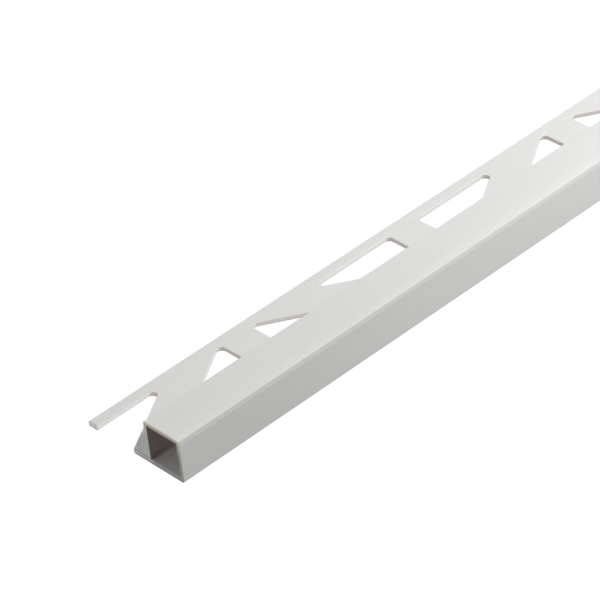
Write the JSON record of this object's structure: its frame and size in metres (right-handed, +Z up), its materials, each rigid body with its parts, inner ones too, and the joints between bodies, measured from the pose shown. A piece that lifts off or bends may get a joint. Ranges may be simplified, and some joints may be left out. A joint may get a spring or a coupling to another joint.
{
  "type": "tile edge trim",
  "caption": "Straight coated aluminium tile edge trim: a hollow square edge with a flat anchoring leg punched with triangular holes.",
  "frame": {"origin": "middle of the underside, which lies on the floor or in the adhesive", "axes": "+X along the trim from its near sawn end, +Y from the box across the leg to its rim, +Z up"},
  "size_m": [2, 0.0304, 0.011],
  "materials": {
    "coated_aluminium": "satin"
  },
  "bodies": {
    "root": {"tile_trim": "coated_aluminium"}
  },
  "joints": []
}
